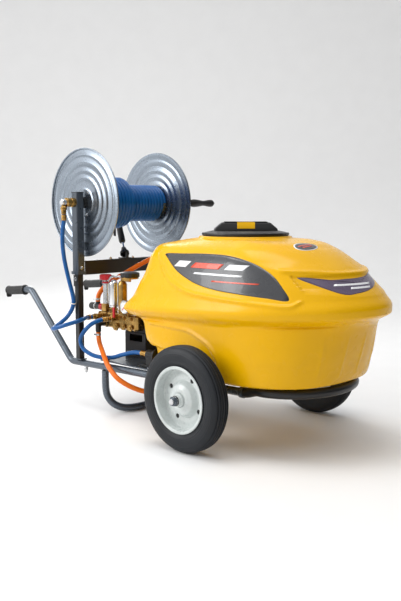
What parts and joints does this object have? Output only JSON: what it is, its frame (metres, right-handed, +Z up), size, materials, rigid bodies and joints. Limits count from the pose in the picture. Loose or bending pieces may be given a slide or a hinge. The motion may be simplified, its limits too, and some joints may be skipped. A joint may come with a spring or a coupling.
{
  "type": "wheeled sprayer cart",
  "caption": "Two-wheeled sprayer cart with a moulded tank, belt-driven pump and crank-wound hose reel on a bent-tube frame with push handles.",
  "frame": {"origin": "on the ground, under the middle of the cart's length and width", "axes": "+X forward (tank nose), +Z up, grips at -X, wheels on +Y and -Y"},
  "size_m": [1.753, 0.839, 1.0238],
  "materials": {
    "frame_paint": "dark blue-grey metallic paint, semi-gloss",
    "black_steel": "black powder coat, satin",
    "tank_plastic": "yellow rotomoulded polyethylene, soft satin",
    "lid_plastic": "black moulded plastic, fine texture",
    "tyre_rubber": "dark slate ribbed tyre rubber",
    "rim_paint": "off-white enamel on pressed steel",
    "zinc": "zinc plated steel",
    "grip_rubber": "black moulded rubber",
    "reel_metal": "silver-grey enamel on pressed steel, semi-gloss",
    "blue_hose": "blue pressure hose, smooth jacket",
    "orange_hose": "orange suction hose, smooth jacket",
    "brass": "cast and machined brass",
    "polished": "polished steel",
    "red_plastic": "red moulded plastic",
    "cast_black": "black painted casting",
    "belt_rubber": "black V-belt rubber",
    "dial_white": "white gauge case"
  },
  "bodies": {
    "frame": {"agitator_hose": "blue_hose", "agitator_valve": "cast_black", "air_chamber": "polished", "axle_far": "zinc", "axle_near": "zinc", "base_plate": "frame_paint", "brass_cylinder": "brass", "crossbeam": "black_steel", "drive_belt": "belt_rubber", "drive_motor": "cast_black", "filler_strainer": "lid_plastic", "frame_far_side": "frame_paint", "frame_near_side": "frame_paint", "front_loop": "black_steel", "grip_far": "grip_rubber", "grip_near": "grip_rubber", "gun_holder": "black_steel", "post_far": "black_steel", "post_near": "black_steel", "pressure_gauge": "dial_white", "pump_crankcase": "cast_black", "pump_head": "brass", "rear_stand": "frame_paint", "reel_bush_far": "grip_rubber", "reel_bush_near": "grip_rubber", "regulator": "zinc", "return_elbow": "lid_plastic", "return_fitting": "lid_plastic", "return_hose": "orange_hose", "suction_elbow": "lid_plastic", "suction_hose": "orange_hose", "supply_hose": "blue_hose", "swivel_joint": "brass", "tank_outlet": "lid_plastic", "tank_rest_bar": "black_steel", "tank_shell": "tank_plastic", "upright_far": "frame_paint", "upright_near": "frame_paint"},
    "wheel_near": {"tyre_near": "tyre_rubber", "rim_near": "rim_paint", "hub_near": "zinc"},
    "wheel_far": {"tyre_far": "tyre_rubber", "rim_far": "rim_paint", "hub_far": "zinc"},
    "reel": {"reel_spindle": "black_steel", "reel_drum": "reel_metal", "reel_flange_near": "reel_metal", "reel_flange_far": "reel_metal", "wound_hose": "blue_hose", "crank_arm": "black_steel"},
    "crank_handle": {"crank_grip": "grip_rubber"},
    "lid": {"tank_lid": "lid_plastic", "lid_insert": "tank_plastic"},
    "pressure_knob": {"regulator_knob": "red_plastic"},
    "tap_lever": {"outlet_lever": "red_plastic"},
    "needle": {"gauge_needle": "red_plastic"},
    "pump_shaft": {"pump_pulley": "zinc"},
    "motor_shaft": {"motor_pulley": "zinc"},
    "gun": {"spray_gun": "lid_plastic"},
    "trigger": {"gun_trigger": "lid_plastic"}
  },
  "joints": [
    {"name": "wheel_near_spin", "type": "hinge", "parent": "frame", "child": "wheel_near", "pos_m": [0.37846, -0.3575, 0.175], "axis": [0, 1, 0], "continuous": true},
    {"name": "wheel_far_spin", "type": "hinge", "parent": "frame", "child": "wheel_far", "pos_m": [0.37846, 0.3575, 0.175], "axis": [0, 1, 0], "continuous": true},
    {"name": "reel_spin", "type": "hinge", "parent": "frame", "child": "reel", "pos_m": [-0.34854, 0, 0.811], "axis": [0, 1, 0], "continuous": true},
    {"name": "crank_grip_spin", "type": "hinge", "parent": "reel", "child": "crank_handle", "pos_m": [-0.19854, 0.32, 0.811], "axis": [0, 1, 0], "continuous": true},
    {"name": "lid_turn", "type": "hinge", "parent": "frame", "child": "lid", "pos_m": [0.32546, 0, 0.7], "axis": [0, 0, 1], "range_deg": [0, 90]},
    {"name": "pressure_knob_turn", "type": "hinge", "parent": "frame", "child": "pressure_knob", "pos_m": [-0.30154, -0.125, 0.515], "axis": [0, 0, 1], "range_deg": [-540, 540]},
    {"name": "tap_lever_turn", "type": "hinge", "parent": "frame", "child": "tap_lever", "pos_m": [-0.20754, -0.1625, 0.372], "axis": [0, 1, 0], "range_deg": [0, 90]},
    {"name": "needle_swing", "type": "hinge", "parent": "frame", "child": "needle", "pos_m": [-0.15554, -0.1543, 0.409], "axis": [0, 1, 0], "range_deg": [0, 270]},
    {"name": "pump_shaft_spin", "type": "hinge", "parent": "frame", "child": "pump_shaft", "pos_m": [-0.03954, -0.056, 0.325], "axis": [1, 0, 0], "continuous": true},
    {"name": "motor_shaft_spin", "type": "hinge", "parent": "frame", "child": "motor_shaft", "pos_m": [-0.03954, 0.12, 0.292], "axis": [1, 0, 0], "continuous": true},
    {"name": "gun_lift", "type": "slide", "parent": "frame", "child": "gun", "axis": [-0.5993, 0.32, 0.7338], "range_m": [0, 0.12]},
    {"name": "trigger_pull", "type": "hinge", "parent": "gun", "child": "trigger", "pos_m": [-0.48186, 0.07585, 0.74577], "axis": [0.1106, 0.9409, -0.32], "range_deg": [-9, 0]}
  ],
  "couplings": [
    {"joint": "motor_shaft_spin", "follows": "pump_shaft_spin", "ratio": 1.55}
  ]
}
